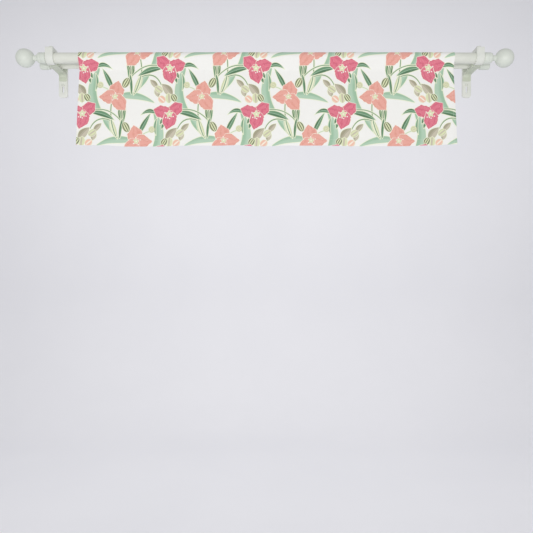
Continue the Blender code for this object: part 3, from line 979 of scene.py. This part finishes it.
def add_cloth():
    """The valance: outer and reverse sides of one sheet, closed along its raw edges."""
    columns = panel_columns()
    outer, reverse, flat = [], [], []
    for fraction, extra, depth, (sideways, inward), flat_x in columns:
        section = cloth_section(side_spread(fraction, extra))
        normals = reverse_normals(section)
        height = 0.0
        path = [0.0]
        for start, end in zip(section, section[1:]):
            height += hypot(end[0] - start[0], end[1] - start[1])
            path.append(height)
        lowest = TURN_UP_STEPS + FOLD_STEPS // 2
        for (offset, z), (back, rise), run in zip(section, normals, path):
            for sheet, half in ((outer, CLOTH / 2.0), (reverse, -CLOTH / 2.0)):
                deep = depth + inward * half
                aside = extra + sideways * half
                spot = hang(fraction, aside, offset + back * deep, z + rise * deep)
                sheet.append(spot)
            flat.append((flat_x, run - path[lowest]))
    rows = len(section)
    count = len(outer)
    faces, kinds = [], []
    for column in range(len(columns) - 1):
        for row in range(rows - 1):
            a = column * rows + row
            face = (a, a + rows, a + rows + 1, a + 1)
            faces += [face, tuple(count + index for index in reversed(face))]
            kinds += [0, 1]
    edge = [(row, row + 1) for row in range(rows - 1)]
    last = (len(columns) - 1) * rows
    edge += [(last + row + 1, last + row) for row in range(rows - 1)]
    for first in range(0, last, rows):
        edge += [(first + rows, first), (first + rows - 1, first + 2 * rows - 1)]
    for a, b in edge:
        faces.append((a, b, b + count, a + count))
        kinds.append(2)
    pattern = printed_flowers()
    front = cloth_finish("printed_cotton", pattern, 1.0)
    back = cloth_finish("printed_cotton_reverse", pattern, SHOW_THROUGH)
    piece = mesh_piece("cloth_panel", outer + reverse, faces)
    settle(piece, "printed_cloth", "valance", front, back)
    mesh = piece.data
    flat_map = mesh.uv_layers.new(name="flat_cloth")
    for polygon in mesh.polygons:
        for loop in polygon.loop_indices:
            flat_map.data[loop].uv = flat[mesh.loops[loop].vertex_index % count]
    for polygon, kind in zip(mesh.polygons, kinds):
        polygon.material_index = 1 if kind == 1 else 0
        polygon.use_smooth = kind < 2
    lengths = [place[1] for place in flat]
    widths = [place[0] for place in flat]
    return piece, (max(widths) - min(widths), max(lengths) - min(lengths))


def stitch_rows():
    """Middle places and ways of all stitches that show."""
    rows = []
    lift = CLOTH / 2.0 + STITCH_LIFT * STITCH_RADIUS
    per_width = int(WIDTH_AT_HEM / STITCH_PITCH)
    for step in range(per_width):
        fraction = -1.0 + (2.0 * step + 1.0) / per_width
        layer = LAYER + side_spread(fraction, 0.0) + lift
        for offset in (-layer, layer):
            for z in (SEAM_Z, HEM_Z + HEM_STITCH_RISE):
                rows.append((fraction, 0.0, offset, z, "across"))
    for side in (-1, 1):
        height = SIDE_STITCH_END - SIDE_STITCH_START
        per_height = int(height / STITCH_PITCH)
        for step in range(per_height):
            z = SIDE_STITCH_START + height * (step + 0.5) / per_height
            extra = -side * SIDE_STITCH_INSET
            front = LAYER + side_spread(side, extra)
            rows.append((side, extra, -front - lift, z, "up"))
            if HEM_Z + HEM_DEPTH + STITCH_CLEAR < z < SEAM_Z - SEAM_TAIL - STITCH_CLEAR:
                rows.append((side, extra, -front + SIDE_LAYER + lift, z, "up"))
    return rows


def add_stitches(material):
    """Sewing thread along the pocket seam, the bottom hem and the side hems."""
    profile = [(share * STITCH_LENGTH, STITCH_RADIUS * swell) for share, swell in STITCH_SHAPE]
    pattern = turned("stitch_pattern", (-STITCH_LENGTH / 2.0, 0, 0), ALONG, profile, 6)
    shape = [vertex.co.copy() for vertex in pattern.data.vertices]
    sides = [tuple(polygon.vertices) for polygon in pattern.data.polygons]
    bpy.data.objects.remove(pattern)
    points, faces = [], []
    for fraction, extra, offset, z, way in stitch_rows():
        spot = hang(fraction, extra, offset, z)
        if way == "across":
            ahead = hang(fraction + LOOK_ACROSS, extra, offset, z)
        else:
            ahead = hang(fraction, extra, offset, z + LOOK_UP)
        turn = ALONG.rotation_difference(Vector(ahead) - Vector(spot))
        first = len(points)
        points += [tuple(Vector(spot) + turn @ co) for co in shape]
        faces += [tuple(first + index for index in side) for side in sides]
    piece = mesh_piece("sewing_thread", points, faces)
    for polygon in piece.data.polygons:
        polygon.use_smooth = True
    return settle(piece, "printed_cloth", None, material)


ROD_EDGE = 0.0009                 # rounding at the rods' ends


def add_rod(name, node, material, sides):
    """A rod with rounded ends."""
    centre, half = middle(node)
    length, radius = 2.0 * half[0], half[2]
    profile = []
    for angle in (0.0, pi / 6.0, pi / 3.0, pi / 2.0):
        run, drop = ROD_EDGE * (1.0 - cos(angle)), ROD_EDGE * (1.0 - sin(angle))
        profile.append((run, radius - drop))
    profile += [(length - run, size) for run, size in reversed(profile)]
    start = (centre[0] - half[0], centre[1], centre[2])
    piece = turned(name, start, ALONG, profile, sides)
    return settle(piece, "rod_paint", node, material)


# Ends of the rods, as rows of distance from the bracket and radius
FINIAL_COLLAR = (
    (0.0000, 0.0168), (0.0003, 0.0182), (0.0011, 0.0192), (0.0024, 0.0196), (0.0178, 0.0196),
    (0.0183, 0.0193), (0.0187, 0.0188), (0.0196, 0.0188), (0.0200, 0.0193), (0.0206, 0.0196),
    (0.0232, 0.0196), (0.0250, 0.0190), (0.0280, 0.0175), (0.0296, 0.0164), (0.0302, 0.0158),
    (0.0305, 0.0148), (0.0305, 0.0118), (0.0308, 0.0104), (0.0316, 0.0098), (0.0425, 0.0098),
)
CAP_PROFILE = (
    (0.0000, 0.0108), (0.0003, 0.0115), (0.0010, 0.0121), (0.0020, 0.0122), (0.0078, 0.0122),
    (0.0086, 0.0119), (0.0089, 0.0114), (0.0092, 0.0114), (0.0095, 0.0124), (0.0102, 0.0130),
    (0.0112, 0.0132), (0.0325, 0.0132), (0.0340, 0.0130), (0.0352, 0.0123), (0.0361, 0.0113),
    (0.0369, 0.0097), (0.0375, 0.0073), (0.0379, 0.0040), (0.0380, 0.0008),
)
BALL_RADIUS = 0.0330
BALL_DISTANCE = 0.0760            # from the start of the collar to the middle of the ball
BALL_STEPS = 42
BALL_END = 1.0                    # where the ball's profile ends, in degrees from its axis
NECK_RADIUS = 0.0100


def add_rod_end(name, node, axis, side, profile, sides, material):
    """A turned piece at a rod's end, in the place of a node, outward from the bracket."""
    centre, half = middle(node)
    start = (centre[0] - side * half[0], axis[1], axis[2])
    piece = turned(name, start, side * ALONG, profile, sides)
    settle(piece, "ball_paint", node, material)


def finial_profile():
    """A ball on its neck and collar."""
    first = degrees(asin(NECK_RADIUS / BALL_RADIUS))
    ball = arc((BALL_DISTANCE, 0.0), BALL_RADIUS, 180.0 - first, BALL_END, BALL_STEPS)
    return list(FINIAL_COLLAR) + ball


# Ring around the front rod
RING_SIDES = 72
RING_CORNER = 0.003
SCREW_HOLE = 0.0028


def add_ring(label, material):
    """The block that holds the front rod: round below, square above, bored along the rod."""
    node = "front_ring_" + label
    low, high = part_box(node)
    centre, half = middle(node)
    start = (low[0], ROD[1], ROD[2])
    circle = {"vertices": RING_SIDES, "location": start, "rotation": (0, pi / 2, 0)}
    deselect_all()
    bpy.ops.mesh.primitive_circle_add(radius=half[1], **circle)
    piece = new_piece("rod_ring_" + label)
    edit()
    pick(piece, "verts", lambda spot, way: spot.z > ROD[2] + SAME)
    bpy.ops.mesh.delete(type="VERT")
    pick(piece, "verts", lambda spot, way: near(spot.z, ROD[2]))
    bpy.ops.mesh.extrude_region_move(TRANSFORM_OT_translate={"value": (0, 0, high[2] - ROD[2])})
    bpy.ops.mesh.edge_face_add()
    pick(piece, "verts", lambda spot, way: near(spot.z, high[2]))
    bpy.ops.mesh.bevel(offset=RING_CORNER, segments=5, affect="VERTICES")
    bpy.ops.mesh.primitive_circle_add(radius=ROD_RADIUS + GAP, **circle)
    bpy.ops.mesh.select_mode(type="EDGE")
    select_mesh()
    bpy.ops.mesh.bridge_edge_loops()
    select_mesh()
    bpy.ops.mesh.extrude_region_move(TRANSFORM_OT_translate={"value": 2.0 * half[0] * ALONG})
    edit_end()
    depth = high[2] - ROD[2]
    hole_middle = (centre[0], ROD[1], ROD[2] + (ROD_RADIUS + depth) / 2.0)
    cut(piece, drum("hole", hole_middle, SCREW_HOLE, depth, UP, 24))
    soften(piece, 0.0009)
    settle(piece, "bracket_paint", node, material)


# Arm from the wall to the ring
ARM_BOTTOM = -0.0208
ARM_TOP = -0.0171
PAD_THICKNESS = 0.006
TAB_THICKNESS = 0.0026
TAB_TOP = 0.012
GUSSET_ROUND = 0.0100
SHOULDER_ROUND = 0.0165
PAD_ROUND = 0.004
TIP_ROUND = 0.0045


def add_arm(label, material):
    """The bar from the wall plate to the ring, with its tab, shoulder and pad."""
    node = "bracket_arm_" + label
    low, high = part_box(node)
    tab_y, pad_y = high[1] - TAB_THICKNESS, low[1] + PAD_THICKNESS
    piece = block("rod_arm_" + label, (*low[:2], ARM_BOTTOM), (*high[:2], ARM_TOP))
    edit()
    slice_at(tab_y)
    slice_at(pad_y)
    grow(piece, lambda spot, way: way.z < -0.9 and spot.y > tab_y, (0, 0, low[2] - ARM_BOTTOM))
    grow(piece, lambda spot, way: way.z > 0.9 and spot.y > tab_y, (0, 0, TAB_TOP - ARM_TOP))
    grow(piece, lambda spot, way: way.z > 0.9 and spot.y < pad_y, (0, 0, high[2] - ARM_TOP))
    round_off(piece, GUSSET_ROUND, 10, "x", y=tab_y, z=ARM_BOTTOM)
    round_off(piece, SHOULDER_ROUND, 10, "x", y=tab_y, z=ARM_TOP)
    round_off(piece, PAD_ROUND, 6, "x", y=pad_y, z=ARM_TOP)
    round_off(piece, TIP_ROUND, 6, "y", z=low[2])
    round_off(piece, TIP_ROUND, 6, "y", z=high[2])
    edit_end()
    soften(piece, 0.0007)
    settle(piece, "bracket_paint", node, material)


# Wall plate
PLATE_CORNER = 0.009
SLOT_WIDTH = 0.0065
SLOT_TOP = -0.0560
SLOT_BOTTOM = -0.0870
BEYOND = 0.01                     # how far a cutter reaches out of what it cuts


def rounded_block(name, low, high, radius):
    """A block with round corners, as seen from the front."""
    piece = block(name, low, high)
    edit()
    round_off(piece, radius, 10, "y")
    edit_end()
    return piece


def add_plate(label, material):
    """The plate on the wall, with rounded corners and a slot for its screw."""
    node = "wall_plate_" + label
    low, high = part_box(node)
    slot_x = (low[0] + high[0]) / 2.0
    slot_half = SLOT_WIDTH / 2.0
    slot_low = (slot_x - slot_half, low[1] - BEYOND, SLOT_BOTTOM)
    slot_high = (slot_x + slot_half, high[1] + BEYOND, SLOT_TOP)
    piece = rounded_block("wall_plate_piece_" + label, low, high, PLATE_CORNER)
    cut(piece, rounded_block("slot", slot_low, slot_high, slot_half - 0.00005))
    soften(piece, 0.0010)
    settle(piece, "bracket_paint", node, material)


# Cup of the back rod
CUP_CORNER = 0.005


def add_cup(label, material):
    """The open cup that holds the back rod."""
    node = "back_cup_" + label
    low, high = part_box(node)
    piece = block("back_rod_cup_" + label, low, high)
    edit()
    round_off(piece, CUP_CORNER, 8, "x", z=low[2])
    edit_end()
    bore = BACK_ROD_RADIUS + GAP
    axis = (middle(node)[0][0], BACK_ROD[1], BACK_ROD[2])
    cut(piece, drum("bore", axis, bore, high[0] - low[0] + 2.0 * BEYOND, ALONG, 64))
    mouth_low = (low[0] - BEYOND, BACK_ROD[1] - bore, BACK_ROD[2])
    mouth_high = (high[0] + BEYOND, BACK_ROD[1] + bore, high[2] + BEYOND)
    cut(piece, block("mouth", mouth_low, mouth_high))
    soften(piece, 0.0005, 2)
    settle(piece, "bracket_paint", node, material)


# Wall screw
RECESS_DEPTH = 0.0020
RECESS_OVER = 0.0005              # how far the blades reach out of the head
RECESS_REACH = 0.55               # share of the head's radius
RECESS_WIDTH = 0.22               # share of the blade's reach
PAN_HEIGHT = 0.0034
PAN_EDGE = 0.0003
SHANK_RADIUS = 0.0023


def cross_recess(piece, top, size):
    """Cut the cross for a screwdriver into the head of a screw that points to the wall."""
    deep = RECESS_DEPTH / 2.0
    centre = Vector(top) - OUT * (deep - RECESS_OVER)
    thin = size * RECESS_WIDTH
    for across, up in ((size, thin), (thin, size)):
        reach = Vector((across, deep + RECESS_OVER, up))
        cut(piece, block("blade", centre - reach, centre + reach))


def add_wall_screw(label, material):
    """Pan head screw in the slot of the wall plate."""
    node = "wall_screw_" + label
    low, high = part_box(node)
    centre, half = middle(node)
    head = half[0]
    base = high[1] - low[1] - PAN_HEIGHT
    profile = [
        (0.0, 0.0016),
        (0.0006, SHANK_RADIUS),
        (base - 0.0001, SHANK_RADIUS),
        (base, 0.0050),
        (base + PAN_EDGE, head),
    ]
    for step in range(1, 10):
        angle = pi / 2.0 * step / 9.3
        rise = (PAN_HEIGHT - PAN_EDGE) * sin(angle)
        profile.append((base + PAN_EDGE + rise, head * cos(angle) ** 0.7))
    start = (centre[0], high[1], centre[2])
    piece = turned("wall_screw_piece_" + label, start, OUT, profile, 48)
    cross_recess(piece, (centre[0], low[1], centre[2]), head * RECESS_REACH)
    shade(piece)
    settle(piece, "screw_paint", node, material)


# Thumb screw
THUMB_RIBS = 20
THUMB_HEIGHT = 0.0082
THUMB_SHANK = 0.0025
RIB_START = 0.0006
RIB_END = 0.0010                  # below the top
GROOVE_EDGE = 0.00012
GROOVE_DEPTH = 0.00045


def add_thumb_screw(label, material):
    """Ribbed screw in the top of the ring."""
    node = "thumb_screw_" + label
    low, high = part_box(node)
    centre, half = middle(node)
    head = half[0]
    top = high[2] - low[2]
    shank = top - THUMB_HEIGHT
    profile = [
        (0.0, 0.0017),
        (0.0007, THUMB_SHANK),
        (shank - 0.0001, THUMB_SHANK),
        (shank, head - 0.0007),
        (shank + RIB_START, head),
        (top - RIB_END, head),
        (top - 0.0003, head - 0.0005),
        (top, head - 0.0014),
        (top - 0.0006, head - 0.0024),
        (top - 0.0008, head - 0.0050),
    ]
    start = (centre[0], centre[1], low[2])
    piece = turned("ring_screw_" + label, start, UP, profile, THUMB_RIBS * 4)
    rib_low, rib_high = low[2] + shank + RIB_START, high[2] - RIB_END

    def in_groove(spot, way):
        turn = atan2(spot.y - centre[1], spot.x - centre[0]) * THUMB_RIBS / (2.0 * pi)
        return abs(way.z) < 0.2 and rib_low < spot.z < rib_high and turn % 1.0 < 0.5

    edit()
    pick(piece, "faces", in_groove)
    bpy.ops.mesh.inset(thickness=GROOVE_EDGE, depth=-GROOVE_DEPTH)
    edit_end()
    shade(piece, 28.0)
    settle(piece, "screw_paint", node, material)


def link(name, data, place):
    """Put a light or a camera into the scene."""
    thing = bpy.data.objects.new(name, data)
    thing.location = place
    bpy.context.scene.collection.objects.link(thing)
    return thing


def add_light(name, place, aim, width, height, power, tint):
    """A large soft light."""
    data = bpy.data.lights.new(name, "AREA")
    data.shape = "RECTANGLE"
    data.size = width
    data.size_y = height
    data.energy = power
    data.color = tint
    light = link(name, data, place)
    light.visible_camera = False
    light.rotation_euler = (Vector(aim) - Vector(place)).to_track_quat("-Z", "Y").to_euler()


# Studio
FLOOR_Z = -2.20
BACK_Y = 3.60
SWEEP_RADIUS = 1.20
STAGE_HALF = 8.0
STAGE_FRONT = -7.0
STAGE_TOP = 4.5
WARM_WHITE = (1.0, 0.99, 0.975)
SOFT_WHITE = (1.0, 0.995, 0.985)


def add_stage():
    """A pale floor that rises into a plain back without a corner."""
    section = [(STAGE_FRONT, FLOOR_Z), (-3.0, FLOOR_Z), (0.0, FLOOR_Z)]
    section += arc((BACK_Y - SWEEP_RADIUS, FLOOR_Z + SWEEP_RADIUS), SWEEP_RADIUS, -90.0, 0.0, 24)
    section += [(BACK_Y, 1.0), (BACK_Y, STAGE_TOP)]
    points, faces = [], []
    for y, z in section:
        points += [(-STAGE_HALF, y, z), (STAGE_HALF, y, z)]
    for row in range(len(section) - 1):
        faces.append((2 * row, 2 * row + 1, 2 * row + 3, 2 * row + 2))
    piece = mesh_piece("studio_sweep", points, faces)
    for polygon in piece.data.polygons:
        polygon.use_smooth = True
    piece.data.materials.append(stage_finish("studio_paper", colour("EFEFF2")))


def add_camera():
    """The camera of the photograph."""
    data = bpy.data.cameras.new("photo_camera")
    data.sensor_width = SENSOR_WIDTH
    data.lens = CAMERA_LENS
    data.clip_start = 0.01
    data.clip_end = 50.0
    camera = link("photo_camera", data, CAMERA_PLACE)
    camera.rotation_euler = (pi / 2.0, 0.0, 0.0)
    bpy.context.scene.camera = camera


def add_world():
    """Pale, even light from all around."""
    world = bpy.data.worlds.new("studio")
    world.use_nodes = True
    background = world.node_tree.nodes["Background"]
    background.inputs["Color"].default_value = colour("ECECEF")
    background.inputs["Strength"].default_value = 0.65
    bpy.context.scene.world = world


def build():
    """Make the whole scene."""
    add_camera()
    add_world()
    add_stage()
    add_light("key", (0.6, -3.6, -1.1), (0.8, 0.0, -0.1), 3.0, 1.2, 64.0, WARM_WHITE)
    add_light("back_wash", (0.8, 1.4, 1.5), (0.8, 3.3, -1.0), 6.0, 1.0, 36.0, SOFT_WHITE)
    add_light("floor_wash", (0.8, 0.8, 0.0), (0.8, 1.7, -2.2), 5.0, 1.0, 9.0, SOFT_WHITE)

    rod_paint = paint_finish("rod_enamel", "E3E5DB", "DADDD2", "C6C8BB", 0.30)
    ball_paint = paint_finish("ball_enamel", "DDE2D8", "D3D9CF", "B9BFB1", 0.32)
    bracket = paint_finish("bracket_enamel", "E5E7E0", "DBDED5", "B3BAA8", 0.36)
    # The arm's enamel is darker and greener than the rest of the bracket: painted shade for the shade
    # under the rods
    arm_painted_shade = paint_finish("arm_enamel_painted_shade", "CDD3C3", "BFC7B3", "98A18B", 0.38)
    screw = paint_finish("screw_enamel", "E6E8E0", "DADDD4", "A9AFA3", 0.32)

    cloth, flat = add_cloth()
    sewing = add_stitches(thread_finish("sewing_thread_white"))
    rod = add_rod("front_tube", "front_rod", rod_paint, 96)
    add_rod("back_tube", "back_rod", rod_paint, 64)
    ball = finial_profile()
    for side, label in SIDES:
        add_rod_end("ball_end_" + label, "finial_" + label, ROD, side, ball, 96, ball_paint)
        cap = "back_rod_cap_" + label
        add_rod_end("end_cap_" + label, cap, BACK_ROD, side, CAP_PROFILE, 64, ball_paint)
        add_ring(label, bracket)
        add_arm(label, arm_painted_shade)
        add_plate(label, bracket)
        add_cup(label, bracket)
        add_wall_screw(label, screw)
        add_thumb_screw(label, screw)


build()
bpy.context.scene.view_settings.view_transform = "Standard"
